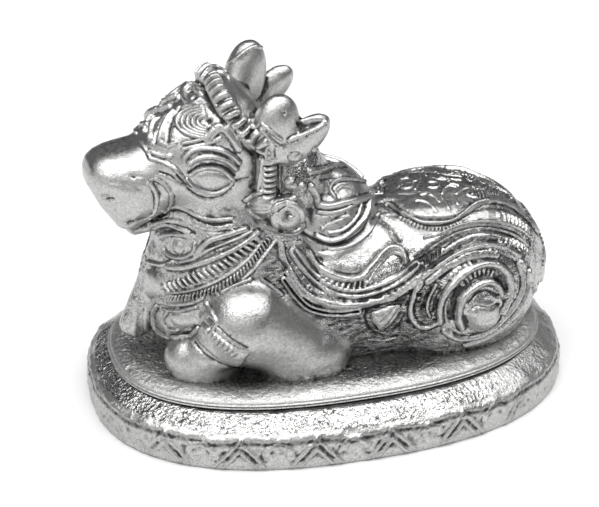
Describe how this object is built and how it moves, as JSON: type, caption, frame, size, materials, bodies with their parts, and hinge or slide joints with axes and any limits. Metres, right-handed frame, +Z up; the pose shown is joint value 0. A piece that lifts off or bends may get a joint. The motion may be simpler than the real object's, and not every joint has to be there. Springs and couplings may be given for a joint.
{
  "type": "nandi bull figure",
  "caption": "Small cast silver figure of a garlanded bull lying with its head raised, on an oval slab over a low petalled oval plinth.",
  "frame": {"origin": "the middle of the plinth's underside, on the surface that it stands on", "axes": "X along the plinth's length, and the bull looks along -X; its left flank faces -Y; Z is up"},
  "size_m": [0.0606, 0.0424, 0.0436],
  "materials": {
    "bull": "polished cast silver, dark in the carving's recesses",
    "plinth": "cast silver with a hammered, satin face"
  },
  "bodies": {
    "root": {"nandi_bull": "bull", "plinth": "plinth"}
  },
  "joints": []
}
